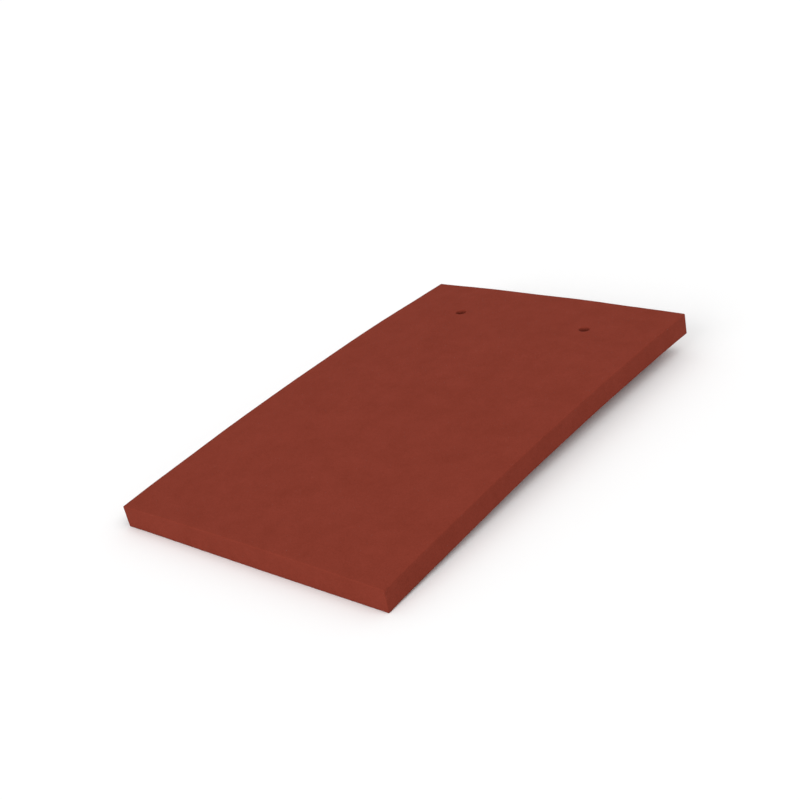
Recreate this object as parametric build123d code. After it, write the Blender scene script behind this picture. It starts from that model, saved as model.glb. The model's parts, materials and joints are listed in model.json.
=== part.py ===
from build123d import *

import os
from math import asin, atan2, degrees, hypot, radians, sqrt, tan

# A concrete plain roof tile. It is one solid piece: a ribbon of concrete pressed over a cambered
# pallet, cut square at head and tail, with two nail holes through it and two nibs under its head.
# Y runs from tail to head, X across the tile and Z up. Lengths are in millimetres, drafts in degrees.

# The ribbon. Its underside is straight across, and its top face is crowned.
LENGTH = 267.0
WIDTH = 168.0
EDGE_THICKNESS = 12.0
CROWN = 1.0
CAMBER = 3.5
ARRIS_RADIUS = 0.5

# The nail holes, at the quarter points of the width. The punch leaves the mouth eased by a small cone.
NAIL_HOLE_DIAMETER = 6.0
NAIL_HOLE_SPACING = 84.0
NAIL_HOLE_FROM_HEAD = 36.0
NAIL_MOUTH_EASE = 0.3
NAIL_MOUTH_DEPTH = 0.3

# The hanging nibs, in line with the nail holes. The hook faces look towards the tail.
NIB_WIDTH = 28.0
NIB_LENGTH = 11.5
NIB_DROP = 10.0
NIB_SPACING = 84.0
NIB_FROM_HEAD = 2.5
NIB_HOOK_DRAFT = 4.0
NIB_SIDE_DRAFT = 12.0
NIB_EDGE_RADIUS = 1.8
NIB_ROOT_RADIUS = 1.5

# How far cutting and joining shapes run past the faces they meet.
OVERRUN = 4.0

# The arc of the camber, seen from the side, and the arc of the crown, seen from the tail.
half_length = LENGTH / 2
half_width = WIDTH / 2
camber_radius = (half_length**2 + CAMBER**2) / (2 * CAMBER)
camber_axis = Axis((0, 0, CAMBER - camber_radius), (1, 0, 0))
crown_radius = (half_width**2 + CROWN**2) / (2 * CROWN)


def top_height(x, y):
    """The height of the top face above the line through the ends of the underside."""
    crown_rise = sqrt(crown_radius**2 - x**2) - crown_radius + CROWN
    return sqrt((camber_radius + EDGE_THICKNESS + crown_rise) ** 2 - y**2) - camber_radius + CAMBER


# The ribbon's section is carried along the camber.
section_low = CAMBER
section_high = CAMBER + EDGE_THICKNESS
section_sides = Polyline(
    (-half_width, section_high),
    (-half_width, section_low),
    (half_width, section_low),
    (half_width, section_high),
)
section_crown = ThreePointArc(
    (half_width, section_high), (0, section_high + CROWN), (-half_width, section_high)
)
section = Plane.XZ * make_face(section_sides.edges() + section_crown.edges())
ribbon_reach = degrees(asin((half_length + OVERRUN) / camber_radius))
ribbon = revolve(section.rotate(camber_axis, -ribbon_reach), camber_axis, 2 * ribbon_reach)

# The knives cut the ribbon square to its chord, and every arris is eased.
cut_height = section_high + CROWN + OVERRUN
cut_length = Pos(0, 0, cut_height / 2) * Box(WIDTH + 2 * OVERRUN, LENGTH, cut_height + 2 * OVERRUN)
tile = ribbon & cut_length
tile = fillet(tile.edges(), ARRIS_RADIUS)

# The nail holes are punched through square to the chord, and their mouths are coned.
nail_hole_y = half_length - NAIL_HOLE_FROM_HEAD
mouth_cone = NAIL_MOUTH_EASE / NAIL_MOUTH_DEPTH
for side in (-1, 1):
    nail_hole_x = side * NAIL_HOLE_SPACING / 2
    nail_hole_top = top_height(nail_hole_x, nail_hole_y)
    punch = Polyline(
        (0, -OVERRUN),
        (NAIL_HOLE_DIAMETER / 2, -OVERRUN),
        (NAIL_HOLE_DIAMETER / 2, nail_hole_top - NAIL_MOUTH_DEPTH),
        (NAIL_HOLE_DIAMETER / 2 + NAIL_MOUTH_EASE + OVERRUN * mouth_cone, nail_hole_top + OVERRUN),
        (0, nail_hole_top + OVERRUN),
        close=True,
    )
    tile -= Pos(nail_hole_x, nail_hole_y, 0) * revolve(Plane.XZ * make_face(punch), Axis.Z)

# Each nib is drafted on all four sides so that it leaves the pallet, with rounded corners.
nib_head_y = half_length - NIB_FROM_HEAD
nib_hook_y = nib_head_y - NIB_LENGTH
nib_top = CAMBER
hook_lean = tan(radians(NIB_HOOK_DRAFT))
side_lean = tan(radians(NIB_SIDE_DRAFT))
nib_from_side = Polyline(
    (nib_hook_y - nib_top * hook_lean, nib_top),
    (nib_hook_y + NIB_DROP * hook_lean, -NIB_DROP),
    (nib_head_y - NIB_DROP * side_lean, -NIB_DROP),
    (nib_head_y + nib_top * side_lean, nib_top),
    close=True,
)
nib_from_tail = Polyline(
    (-NIB_WIDTH / 2 - nib_top * side_lean, nib_top),
    (-NIB_WIDTH / 2 + NIB_DROP * side_lean, -NIB_DROP),
    (NIB_WIDTH / 2 - NIB_DROP * side_lean, -NIB_DROP),
    (NIB_WIDTH / 2 + nib_top * side_lean, nib_top),
    close=True,
)
across = extrude(Plane.YZ * make_face(nib_from_side), NIB_WIDTH, both=True)
along = extrude(Plane.XZ * make_face(nib_from_tail), LENGTH, both=True)
nib = across & along
nib_root_edges = nib.faces().sort_by(Axis.Z)[-1].edges()
nib = fillet(nib.edges() - nib_root_edges, NIB_EDGE_RADIUS)
for side in (-1, 1):
    tile += Pos(side * NIB_SPACING / 2, 0, 0) * nib
underside = tile.faces().filter_by(GeomType.CYLINDER).sort_by(SortBy.AREA)[-1]
nib_roots = underside.inner_wires().sort_by(SortBy.LENGTH)[-2:]
tile = fillet(nib_roots.edges(), NIB_ROOT_RADIUS)

# Left on a level floor the tile lies on the tail's lower arris and the tips of its nibs.
tip_run = nib_hook_y + NIB_DROP * hook_lean + NIB_EDGE_RADIUS + half_length - ARRIS_RADIUS
tip_fall = NIB_DROP - NIB_EDGE_RADIUS + ARRIS_RADIUS
lie = atan2(tip_fall, tip_run) + asin((NIB_EDGE_RADIUS - ARRIS_RADIUS) / hypot(tip_run, tip_fall))
tile = tile.rotate(Axis.X, degrees(lie))
lain = tile.bounding_box()
tile = Pos(0, -lain.center().Y, -lain.min.Z) * tile

os.makedirs("parts", exist_ok=True)
export_step(tile, "parts/plain_tile.step")
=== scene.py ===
import json
from math import asin, pi, radians, sqrt, tan

import bmesh
import bpy
import numpy as np
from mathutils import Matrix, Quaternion, Vector


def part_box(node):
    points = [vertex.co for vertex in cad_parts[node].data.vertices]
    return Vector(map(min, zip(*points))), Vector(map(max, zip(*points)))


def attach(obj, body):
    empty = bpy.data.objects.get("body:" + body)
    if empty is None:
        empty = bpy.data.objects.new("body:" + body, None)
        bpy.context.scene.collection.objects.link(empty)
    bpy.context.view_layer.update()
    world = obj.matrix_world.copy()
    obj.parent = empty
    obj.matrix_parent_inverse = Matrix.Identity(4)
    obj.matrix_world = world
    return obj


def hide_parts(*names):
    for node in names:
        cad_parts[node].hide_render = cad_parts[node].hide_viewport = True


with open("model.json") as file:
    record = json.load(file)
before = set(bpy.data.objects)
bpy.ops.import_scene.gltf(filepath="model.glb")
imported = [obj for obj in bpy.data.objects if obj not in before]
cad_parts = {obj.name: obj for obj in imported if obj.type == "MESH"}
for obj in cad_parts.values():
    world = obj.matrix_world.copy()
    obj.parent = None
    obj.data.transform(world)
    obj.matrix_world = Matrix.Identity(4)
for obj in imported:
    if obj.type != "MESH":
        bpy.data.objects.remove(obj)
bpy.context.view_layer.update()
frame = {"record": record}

# The ribbon. The tile's body is a stiff mortar of sand and cement, coloured through with iron oxide
# and pressed over a cambered pallet. Its underside is straight across, and its top face is crowned.
# Y runs from tail to head. Both faces are grids on the same lines, closer at the holes and the nibs.
LENGTH, WIDTH, EDGE_THICKNESS = 0.267, 0.168, 0.012
CAMBER, CROWN, ARRIS = 0.0035, 0.001, 0.0005
NAIL_X, NAIL_FROM_HEAD = 0.042, 0.036
NAIL_WINDOW, NAIL_STEP = 0.0096, 0.0006
NIB_X, NIB_HALF_WIDTH, NIB_LENGTH, NIB_FROM_HEAD = 0.042, 0.014, 0.0115, 0.0025
NIB_MARGIN, NIB_HEAD_MARGIN, NIB_CORNER, NIB_STEP = 0.0024, 0.0018, 0.002, 0.0006
FACE_STEP = 0.0015

camber_radius = ((LENGTH / 2) ** 2 + CAMBER**2) / (2 * CAMBER)
crown_radius = ((WIDTH / 2) ** 2 + CROWN**2) / (2 * CROWN)
nail_y = LENGTH / 2 - NAIL_FROM_HEAD
nib_head_y = LENGTH / 2 - NIB_FROM_HEAD
nib_hook_y = nib_head_y - NIB_LENGTH
nib_window_x = NIB_HALF_WIDTH + NIB_MARGIN
nib_window_tail, nib_window_head = nib_hook_y - NIB_MARGIN, nib_head_y + NIB_HEAD_MARGIN


def underside(y):
    """Height of the underside: one arc along the tile, at height 0 at both ends."""
    return np.sqrt(camber_radius**2 - y**2) - camber_radius + CAMBER


def top_face(x, y):
    """Height of the top face: the camber's arc, raised by the thickness and by an arc across the tile."""
    crown = np.sqrt(crown_radius**2 - x**2) - crown_radius + CROWN
    return np.sqrt((camber_radius + EDGE_THICKNESS + crown) ** 2 - y**2) - camber_radius + CAMBER


def grid_lines(start, *stretches):
    """Positions from start on: each stretch, a stop and a step, is cut into even cells near that step."""
    lines = np.array([start])
    for stop, step in stretches:
        count = max(round((stop - lines[-1]) / step), 1)
        lines = np.concatenate([lines, np.linspace(lines[-1], stop, count + 1)[1:]])
    return lines


half_lines = grid_lines(
    0.0,
    (NIB_X - nib_window_x, FACE_STEP),
    (NIB_X - NIB_HALF_WIDTH + NIB_CORNER, NIB_STEP),
    (NAIL_X - NAIL_WINDOW, FACE_STEP),
    (NAIL_X + NAIL_WINDOW, NAIL_STEP),
    (NIB_X + NIB_HALF_WIDTH - NIB_CORNER, FACE_STEP),
    (NIB_X + nib_window_x, NIB_STEP),
    (WIDTH / 2 - ARRIS, FACE_STEP),
)
x_lines = np.concatenate([-half_lines[:0:-1], half_lines])
y_lines = grid_lines(
    ARRIS - LENGTH / 2,
    (nail_y - NAIL_WINDOW, FACE_STEP),
    (nail_y + NAIL_WINDOW, NAIL_STEP),
    (nib_window_tail, FACE_STEP),
    (nib_window_head, NIB_STEP),
    (LENGTH / 2 - ARRIS, NIB_STEP),
)
top_x, top_y = np.meshgrid(x_lines, y_lines)
low_x, low_y = top_x, top_y
top_kept = np.ones((len(y_lines) - 1, len(x_lines) - 1), bool)
low_kept = top_kept.copy()

# The nail holes. Two plain round holes are punched through the green tile near its head, square to
# its chord, at the quarter points of its width. The punch leaves each mouth a little coned.
NAIL_RADIUS, NAIL_MOUTH_RADIUS, NAIL_MOUTH_DEPTH = 0.003, 0.0033, 0.0003
NAIL_BLOCK, NAIL_WALL_CELLS = 4 * NAIL_STEP, 8
NAIL_FLAT_X, NAIL_FLAT_STEP, SMALL_FLAT_Y = -0.060, 0.018, -0.168

vertices, faces, wrap = [], [], []


def drawn_round(x, y, centre_x, radius):
    """Square rings of grid points round a hole, drawn onto circles at its rim, square at the window's edge.

    A point's ring is the larger of its two distances from the hole's axis. Its share of the way along half
    a side of the ring becomes the same share of an eighth of a turn.
    """
    u, v = (x - centre_x) / NAIL_WINDOW, (y - nail_y) / NAIL_WINDOW
    ring = np.maximum(np.abs(u), np.abs(v))
    upright = np.abs(u) >= np.abs(v)
    along, across = np.where(upright, v, u), np.where(upright, u, v)
    eighth = np.divide(along, across, out=np.zeros_like(u), where=across != 0) * pi / 4
    turn = np.where(upright, eighth, pi / 2 - eighth) + np.where(across < 0, pi, 0.0)
    out = np.clip((ring * NAIL_WINDOW - NAIL_BLOCK) / (NAIL_WINDOW - NAIL_BLOCK), 0, 1)
    square = out**2 * (3 - 2 * out)
    reach = (1 - square) * (radius + (NAIL_WINDOW - radius) * out)
    round_x = centre_x + reach * np.cos(turn) + square * (x - centre_x)
    round_y = nail_y + reach * np.sin(turn) + square * (y - nail_y)
    return np.where(ring < 1, round_x, x), np.where(ring < 1, round_y, y)


def placed(x, y, z):
    """Adds points to the tile's mesh, and gives their numbers in the shape that the points have."""
    x, y, z = np.broadcast_arrays(x, y, z)
    first = sum(len(block) for block in vertices)
    vertices.append(np.stack([x, y, z], axis=-1).reshape(-1, 3))
    return first + np.arange(x.size).reshape(x.shape)


def nearest(lines, value):
    """Number of the grid line that lies at a value."""
    return int(np.argmin(np.abs(lines - value)))


def loop_round(numbers, rows, columns):
    """Values once round a block of a grid, from its left tail corner and along the tail first."""
    (low, high), (left, right) = rows, columns
    return np.concatenate([
        numbers[low, left:right],
        numbers[low:high, right],
        numbers[high, right:left:-1],
        numbers[high:low:-1, left],
    ])


def ring_faces(rings):
    """Faces from each ring of vertices to the next, closed round the turn."""
    turned = np.roll(rings, -1, axis=1)
    return np.stack([rings[:-1], turned[:-1], turned[1:], rings[1:]], axis=-1).reshape(-1, 4)


def laid(cut, numbers, flat_x, flat_y, *kept):
    """Adds the faces that a function cuts from a grid or from rings of vertex numbers.

    The same cut, made in the places of those vertices on a flat sheet, gives each face's corners on the
    wrap, the mesh's flat map.
    """
    faces.append(cut(numbers, *kept))
    wrap.append(np.stack([cut(flat_x, *kept), cut(flat_y, *kept)], axis=-1))


def way_along(rings):
    """Length of the way from the first ring to each one: the mean steps from ring to ring, added up."""
    steps = np.linalg.norm(np.diff(np.concatenate(vertices)[rings], axis=0), axis=-1).mean(axis=1)
    return np.concatenate([[0.0], np.cumsum(steps)])[:, None]


for side in (-1, 1):
    top_x, top_y = drawn_round(top_x, top_y, side * NAIL_X, NAIL_MOUTH_RADIUS)
    low_x, low_y = drawn_round(low_x, low_y, side * NAIL_X, NAIL_RADIUS)
top_numbers = placed(top_x, top_y, top_face(top_x, top_y))
low_numbers = placed(low_x, low_y, underside(low_y))
face_points = np.concatenate(vertices)
neck = top_face(NAIL_X, nail_y) - NAIL_MOUTH_DEPTH
down = np.linspace(0, 1, NAIL_WALL_CELLS + 1)[:-1, None]
rows = nearest(y_lines, nail_y - NAIL_BLOCK), nearest(y_lines, nail_y + NAIL_BLOCK)
for side in (-1, 1):
    centre_x = side * NAIL_X
    columns = nearest(x_lines, centre_x - NAIL_BLOCK), nearest(x_lines, centre_x + NAIL_BLOCK)
    punched = slice(*rows), slice(*columns)
    top_kept[punched] = low_kept[punched] = False
    mouth, foot = loop_round(top_numbers, rows, columns), loop_round(low_numbers, rows, columns)
    turn = np.arctan2(face_points[mouth, 1] - nail_y, face_points[mouth, 0] - centre_x)
    wall = placed(
        centre_x + NAIL_RADIUS * np.cos(turn),
        nail_y + NAIL_RADIUS * np.sin(turn),
        neck * (1 - down) + face_points[foot, 2] * down,
    )
    rings = np.vstack([mouth, wall, foot])
    spread = NAIL_MOUTH_RADIUS + way_along(rings)
    flat_x = NAIL_FLAT_X + side * NAIL_FLAT_STEP + spread * np.cos(turn)
    laid(ring_faces, rings, flat_x, SMALL_FLAT_Y - spread * np.sin(turn))

# The nibs. Two short lugs under the head are formed with the tile in hollows of the pallet, and hook
# over the batten. They are drafted to leave the pallet, with rounded edges and a filleted root.
NIB_DROP, NIB_EDGE, NIB_ROOT = 0.010, 0.0018, 0.0015
NIB_HOOK_LEAN, NIB_SIDE_LEAN = tan(radians(4)), tan(radians(12))
NIB_ROUND_CELLS, NIB_WALL_CELLS = 5, 8
NIB_FLAT_X, NIB_FLAT_STEP, LOW_FLAT_X = 0.056, 0.026, 0.188


def rounded(u, v, half_x, half_y, corner):
    """A rectangle's outline with round corners: each point goes to the nearest one of its corner's arc."""
    x, y = half_x * u, half_y * v
    inner_x = np.clip(x, corner - half_x, half_x - corner)
    inner_y = np.clip(y, corner - half_y, half_y - corner)
    reach = np.hypot(x - inner_x, y - inner_y)
    return inner_x + corner * (x - inner_x) / reach, inner_y + corner * (y - inner_y) / reach


def nib_section(z, out):
    """Half width, half length and middle of a nib at a height: its drafted walls, moved out some way."""
    tail, head = nib_hook_y - z * NIB_HOOK_LEAN - out, nib_head_y + z * NIB_SIDE_LEAN + out
    return NIB_HALF_WIDTH + z * NIB_SIDE_LEAN + out, (head - tail) / 2, (head + tail) / 2


def grid_faces(numbers, kept):
    """One face for each kept cell of a grid, between two lines each way."""
    cells = np.stack([numbers[:-1, :-1], numbers[:-1, 1:], numbers[1:, 1:], numbers[1:, :-1]], axis=-1)
    return cells[kept]


bend = np.linspace(0, pi / 2, NIB_ROUND_CELLS + 1)
root_z, bend_z = underside((nib_hook_y + nib_head_y) / 2), NIB_EDGE - NIB_DROP
ring_z = np.concatenate([
    root_z - NIB_ROOT * (1 - np.cos(bend)),
    np.linspace(root_z - NIB_ROOT, bend_z, NIB_WALL_CELLS + 1)[1:-1],
    bend_z - NIB_EDGE * np.sin(bend[:-1]),
])[:, None]
ring_out = np.concatenate([
    NIB_ROOT * (1 - np.sin(bend)),
    np.zeros(NIB_WALL_CELLS - 1),
    NIB_EDGE * (np.cos(bend[:-1]) - 1),
])[:, None]
follow = np.clip((ring_z - bend_z) / (root_z - bend_z), 0, 1)
wall_x, wall_y, wall_middle = nib_section(ring_z, ring_out)
tip_x, tip_y, tip_middle = nib_section(-NIB_DROP, -NIB_EDGE)
rows = nearest(y_lines, nib_window_tail), nearest(y_lines, nib_window_head)
for side in (-1, 1):
    centre_x = side * NIB_X
    columns = nearest(x_lines, centre_x - nib_window_x), nearest(x_lines, centre_x + nib_window_x)
    low_kept[slice(*rows), slice(*columns)] = False
    block_u, block_v = np.meshgrid(
        (x_lines[columns[0]:columns[1] + 1] - centre_x) / nib_window_x,
        2 * (y_lines[rows[0]:rows[1] + 1] - nib_window_tail) / (nib_window_head - nib_window_tail) - 1,
    )
    whole = (0, len(block_u) - 1), (0, block_u.shape[1] - 1)
    u, v = loop_round(block_u, *whole), loop_round(block_v, *whole)
    ring_x, ring_y = rounded(u, v, wall_x, wall_y, NIB_EDGE + ring_out)
    ring_y = ring_y + wall_middle
    walls = placed(centre_x + ring_x, ring_y, ring_z + follow * (underside(ring_y) - root_z))
    tip = placed(centre_x + tip_x * block_u, tip_middle + tip_y * block_v, -NIB_DROP)
    rings = np.vstack([loop_round(low_numbers, rows, columns), walls, loop_round(tip, *whole)])
    spread = way_along(rings)[-1] - way_along(rings)
    flat_x = NIB_FLAT_X + side * NIB_FLAT_STEP
    laid(ring_faces, rings, flat_x - u * (tip_x + spread), SMALL_FLAT_Y + v * (tip_y + spread))
    tip_kept = np.ones_like(tip[1:, 1:], bool)
    laid(grid_faces, tip, flat_x - tip_x * block_u, SMALL_FLAT_Y + tip_y * block_v, tip_kept)
laid(grid_faces, top_numbers, top_x, top_y, top_kept)
laid(grid_faces, low_numbers, LOW_FLAT_X - low_x, low_y, low_kept)

# The edges. The long sides are left by the side plates of the press, and head and tail are cut square
# to the chord by a knife. Every arris is crisp, and eased by no more than a rub of the hand.
ARRIS_CELLS, CORNER_CELLS, WALL_CELLS = 4, 4, 8

# The loop round each face repeats its corners, and the copies of a corner fan out over a quarter turn.
rows, columns = (0, len(y_lines) - 1), (0, len(x_lines) - 1)
steps = np.array([columns[1], rows[1], columns[1], rows[1]])
repeats = np.ones(steps.sum(), int)
repeats[np.cumsum(steps) - steps] = CORNER_CELLS + 1
within = np.arange(repeats.sum()) - np.repeat(np.cumsum(repeats) - repeats, repeats)
at_corner = np.repeat(repeats > 1, repeats)
heading = np.repeat(np.repeat([-pi / 2, 0, pi / 2, pi], steps), repeats)
heading += np.where(at_corner, pi / 2 * (within / CORNER_CELLS - 1), 0.0)
top_loop = np.repeat(loop_round(top_numbers, rows, columns), repeats)
low_loop = np.repeat(loop_round(low_numbers, rows, columns), repeats)
rim_x, rim_y, rim_top = face_points[top_loop].T
rim_low = face_points[low_loop, 2]

# An edge runs down over the upper arris, the wall and the lower arris. On the wrap it is folded out from
# the top face, so no seam lies along an upper arris.
fold = np.linspace(0, pi / 2, ARRIS_CELLS + 1)[1:, None]
down = np.linspace(0, 1, WALL_CELLS + 1)[1:-1, None]
edge_out = ARRIS * np.concatenate([np.sin(fold), np.ones_like(down), np.sin(fold[::-1])])
edge_z = np.concatenate([
    rim_top - ARRIS * (1 - np.cos(fold)),
    (rim_top - ARRIS) * (1 - down) + (rim_low + ARRIS) * down,
    rim_low + ARRIS * (1 - np.cos(fold[::-1])),
])
edge = placed(rim_x + edge_out * np.cos(heading), rim_y + edge_out * np.sin(heading), edge_z)
rings = np.vstack([top_loop, edge, low_loop])
spread = way_along(rings)
laid(ring_faces, rings, rim_x + spread * np.cos(heading), rim_y + spread * np.sin(heading))

# As it lies. Left on a level floor the tile rests on the tail's lower arris and on the tips of its
# nibs, so it is turned about X by the lean of its nail holes and set into the box of the CAD solid.
WRAP_EDGE = 0.002

points = np.concatenate(vertices)
bore = next(mount for mount in frame["record"]["mounts"] if mount["name"] == "nail_hole_left")
lie = asin(-bore["axis"][1])
points[:, 1:] = points[:, 1:] @ np.array([[np.cos(lie), np.sin(lie)], [-np.sin(lie), np.cos(lie)]])
solid_low, solid_high = (np.array(corner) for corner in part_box("plain_tile"))
points[:, 1] += (solid_low[1] + solid_high[1] - points[:, 1].min() - points[:, 1].max()) / 2
points[:, 2] += solid_low[2] - points[:, 2].min()

# A face at a repeated corner has three corners of its own. Points that no face uses are left out.
quads, corners = np.concatenate(faces), np.concatenate(wrap)
pinched, pointed = quads[:, 0] == quads[:, 1], quads[:, 2] == quads[:, 3]
square = ~pinched & ~pointed
flat = np.concatenate([
    corners[square].reshape(-1, 2),
    corners[pinched, 1:].reshape(-1, 2),
    corners[pointed, :3].reshape(-1, 2),
])
flat = (flat - flat.min(axis=0) + WRAP_EDGE) / (np.ptp(flat, axis=0).max() + 2 * WRAP_EDGE)
triangles = np.concatenate([quads[pinched, 1:], quads[pointed, :3]])
quads = quads[square]
used, renumbered = np.unique(np.concatenate([quads.ravel(), triangles.ravel()]), return_inverse=True)
points = points[used]
quads, triangles = renumbered[:quads.size].reshape(-1, 4), renumbered[quads.size:].reshape(-1, 3)

mesh = bpy.data.meshes.new("tile_skin")
mesh.from_pydata(points.tolist(), [], quads.tolist() + triangles.tolist())
mesh.uv_layers.new(name="OFBake").uv.foreach_set("vector", flat.ravel())
shape = bmesh.new()
shape.from_mesh(mesh)
bmesh.ops.recalc_face_normals(shape, faces=shape.faces)
shape.to_mesh(mesh)
shape.free()
mesh.polygons.foreach_set("use_smooth", np.ones(len(mesh.polygons), bool))
mesh.update()

# The skin. The press leaves the mortar close and even, a few hundredths of a millimetre out of true,
# with a faint drag along the tile where the ribbon slid under the roller and a rougher face at each cut.
BROAD, BROAD_LENGTH = 0.00005, 0.06
MIDDLE, MIDDLE_LENGTH = 0.000012, 0.010
DRAG, DRAG_LENGTH, DRAG_STRETCH = 0.000006, 0.005, 14.0
CUT, CUT_LENGTH = 0.00003, 0.004
WAVES, SHORTEST_SHARE, LONGEST_SHARE = 48, 0.6, 1.5


def unevenness(where, wavelength, seed):
    """Unevenness of spread 1: a sum of plane waves of about one length, each with its own way and start."""
    draw = np.random.default_rng(seed)
    ways = draw.normal(size=(WAVES, 3))
    ways /= np.linalg.norm(ways, axis=1, keepdims=True)
    ways /= wavelength * draw.uniform(SHORTEST_SHARE, LONGEST_SHARE, (WAVES, 1))
    starts = draw.uniform(0, 1, WAVES)
    return np.sin(2 * pi * (where @ ways.T + starts)).sum(axis=1) / sqrt(WAVES / 2)


normals = np.empty((len(points), 3))
mesh.vertices.foreach_get("co", points.reshape(-1))
mesh.vertex_normals.foreach_get("vector", normals.reshape(-1))
relief = BROAD * unevenness(points, BROAD_LENGTH, 1) + MIDDLE * unevenness(points, MIDDLE_LENGTH, 2)
relief += DRAG * unevenness(points / [1, DRAG_STRETCH, 1], DRAG_LENGTH, 3) * np.clip(normals[:, 2], 0, 1)
relief += CUT * unevenness(points, CUT_LENGTH, 4) * np.abs(normals[:, 1]) ** 3
points += normals * relief[:, None]
points[:, 2] = np.maximum(points[:, 2], 0)
mesh.vertices.foreach_set("co", points.reshape(-1))
mesh.update()

# The concrete. Iron oxide red runs right through the mortar, so the skin, the cut ends and the walls of
# the holes are one dull colour, a shade uneven from cement bloom. Fine sand under a film of cement gives
# a close matt grain, and there is no gloss.
RED_PALE, RED_DEEP = (0.283, 0.0514, 0.0328, 1.0), (0.151, 0.0218, 0.0104, 1.0)
BLOOM_PER_METRE, BLOOM_DETAIL, BLOOM_ROUGHNESS = 60.0, 4.0, 0.75
SAND_PER_METRE, SAND_DETAIL, SAND_ROUGHNESS = 1400.0, 2.0, 0.6
SAND_SHARE, SAND_HEIGHT, SAND_BUMP = 0.5, 0.0004, 0.6
DULL_LEAST, DULL_MOST, SHINE = 0.82, 0.98, 0.04

concrete = bpy.data.materials.new("concrete")
concrete.use_nodes = True
nodes, links = concrete.node_tree.nodes, concrete.node_tree.links
place = nodes.new("ShaderNodeTexCoord")


def patches(per_metre, detail, roughness):
    """Uneven patches from 0 to 1 through the whole concrete, about so many to the metre."""
    noise = nodes.new("ShaderNodeTexNoise")
    noise.inputs["Scale"].default_value = per_metre
    noise.inputs["Detail"].default_value = detail
    noise.inputs["Roughness"].default_value = roughness
    links.new(place.outputs["Object"], noise.inputs["Vector"])
    return noise.outputs["Fac"]


bloom = patches(BLOOM_PER_METRE, BLOOM_DETAIL, BLOOM_ROUGHNESS)
sand = patches(SAND_PER_METRE, SAND_DETAIL, SAND_ROUGHNESS)
shade = nodes.new("ShaderNodeMix")
shade.inputs["Factor"].default_value = SAND_SHARE
tint = nodes.new("ShaderNodeMix")
tint.data_type = "RGBA"
tint.inputs[6].default_value = RED_DEEP
tint.inputs[7].default_value = RED_PALE
dull = nodes.new("ShaderNodeMapRange")
dull.inputs["To Min"].default_value = DULL_LEAST
dull.inputs["To Max"].default_value = DULL_MOST
bump = nodes.new("ShaderNodeBump")
bump.inputs["Strength"].default_value = SAND_BUMP
bump.inputs["Distance"].default_value = SAND_HEIGHT
surface = nodes["Principled BSDF"]
surface.inputs["Specular IOR Level"].default_value = SHINE
links.new(bloom, shade.inputs["A"])
links.new(sand, shade.inputs["B"])
links.new(shade.outputs["Result"], tint.inputs["Factor"])
links.new(tint.outputs[2], surface.inputs["Base Color"])
links.new(sand, dull.inputs["Value"])
links.new(dull.outputs["Result"], surface.inputs["Roughness"])
links.new(sand, bump.inputs["Height"])
links.new(bump.outputs["Normal"], surface.inputs["Normal"])

mesh.materials.append(concrete)
tile = bpy.data.objects.new("tile_skin", mesh)
bpy.context.scene.collection.objects.link(tile)
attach(tile, "root")
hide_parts("plain_tile")

# The floor. A plain pale sheet runs out past every edge of the picture and keeps the tile's soft shadow.
# The sheet and the space behind it are white to the eye, and a plain pale grey to the light.
FLOOR_REACH, FLOOR_GREY = 30.0, 0.8


def shown(nodes, links):
    """1 for rays that make the picture, from the camera, off gloss or through glass, and 0 for others."""
    path = nodes.new("ShaderNodeLightPath")
    rays = path.outputs["Is Camera Ray"]
    for kind in ("Is Glossy Ray", "Is Transmission Ray"):
        either = nodes.new("ShaderNodeMath")
        either.operation = "MAXIMUM"
        links.new(rays, either.inputs[0])
        links.new(path.outputs[kind], either.inputs[1])
        rays = either.outputs["Value"]
    return rays


sheet = bpy.data.meshes.new("floor")
sheet_corners = FLOOR_REACH * np.array([(-1, -1, 0), (1, -1, 0), (1, 1, 0), (-1, 1, 0)])
sheet.from_pydata(sheet_corners.tolist(), [], [(0, 1, 2, 3)])
paper = bpy.data.materials.new("floor")
paper.use_nodes = True
nodes, links = paper.node_tree.nodes, paper.node_tree.links
colour = nodes.new("ShaderNodeMix")
colour.data_type = "RGBA"
colour.inputs[6].default_value = (FLOOR_GREY, FLOOR_GREY, FLOOR_GREY, 1.0)
colour.inputs[7].default_value = (1.0, 1.0, 1.0, 1.0)
surface = nodes["Principled BSDF"]
surface.inputs["Roughness"].default_value = 1.0
surface.inputs["Specular IOR Level"].default_value = 0.0
links.new(shown(nodes, links), colour.inputs["Factor"])
links.new(colour.outputs[2], surface.inputs["Base Color"])
sheet.materials.append(paper)
floor = bpy.data.objects.new("floor", sheet)
bpy.context.scene.collection.objects.link(floor)

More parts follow.
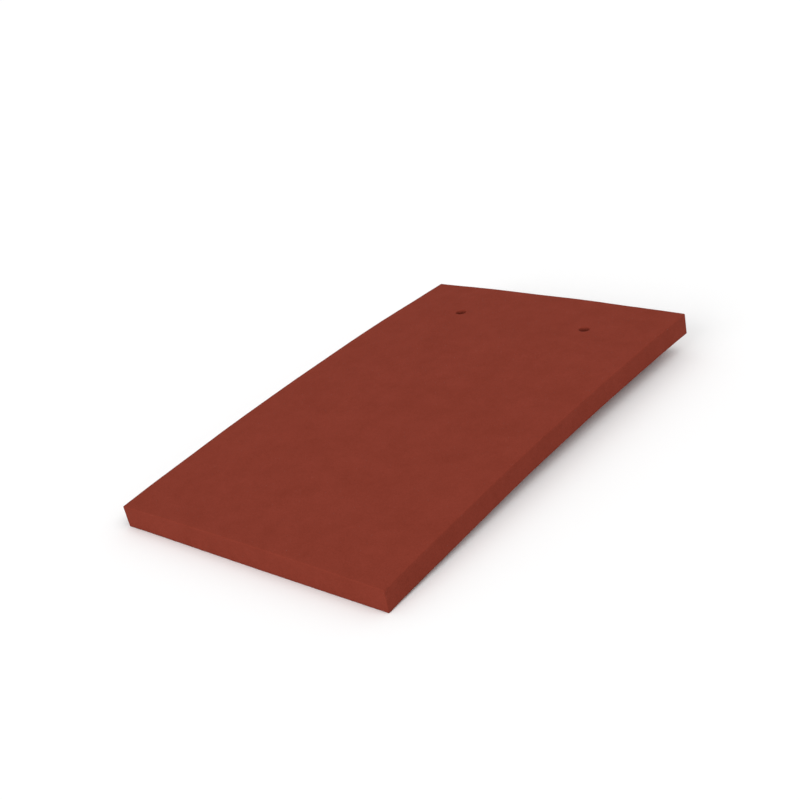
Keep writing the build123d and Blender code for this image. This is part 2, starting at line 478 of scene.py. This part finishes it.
# The light. A white room lights the tile evenly. A broad lamp stands low in front of the tail, so the tail
# is the lightest face, and a broad lamp hangs high to the right and fills the shadow on that side.
ROOM_LEVEL, LAMP_SPREAD = 0.65, 40.0
TAIL_LAMP, TAIL_LAMP_ELEVATION, TAIL_LAMP_AZIMUTH = 1.33, 21.0, 0.0
SIDE_LAMP, SIDE_LAMP_ELEVATION, SIDE_LAMP_AZIMUTH = 0.85, 56.0, 90.0

room = bpy.data.worlds.new("room")
room.use_nodes = True
nodes, links = room.node_tree.nodes, room.node_tree.links
level = nodes.new("ShaderNodeMix")
level.inputs["A"].default_value = ROOM_LEVEL
level.inputs["B"].default_value = 1.0
links.new(shown(nodes, links), level.inputs["Factor"])
nodes["Background"].inputs["Color"].default_value = (1.0, 1.0, 1.0, 1.0)
links.new(level.outputs["Result"], nodes["Background"].inputs["Strength"])
bpy.context.scene.world = room

for name, strength, elevation, azimuth in (
    ("tail_lamp", TAIL_LAMP, TAIL_LAMP_ELEVATION, TAIL_LAMP_AZIMUTH),
    ("side_lamp", SIDE_LAMP, SIDE_LAMP_ELEVATION, SIDE_LAMP_AZIMUTH),
):
    light = bpy.data.lights.new(name, "SUN")
    light.energy = strength
    light.angle = radians(LAMP_SPREAD)
    lamp = bpy.data.objects.new(name, light)
    lamp.rotation_euler = (radians(90.0 - elevation), 0.0, radians(azimuth))
    bpy.context.scene.collection.objects.link(lamp)

# The camera. It stands two thirds of a metre from the middle of the tile, out past the right corner of the
# tail and above it, and is turned on its axis so that the tile climbs across the picture.
EYE, AIM = Vector((0.39705, -0.43700, 0.30327)), Vector((-0.02080, 0.00906, 0.01200))
ROLL, LENS, SENSOR = -10.639, 56.95, 36.0

lens = bpy.data.cameras.new("camera")
lens.sensor_width = SENSOR
lens.lens = LENS
camera = bpy.data.objects.new("camera", lens)
camera.location = EYE
sight = (AIM - EYE).to_track_quat("-Z", "Y") @ Quaternion((0, 0, 1), radians(ROLL))
camera.rotation_euler = sight.to_euler()
bpy.context.scene.collection.objects.link(camera)
bpy.context.scene.camera = camera
bpy.context.scene.view_settings.view_transform = "Standard"
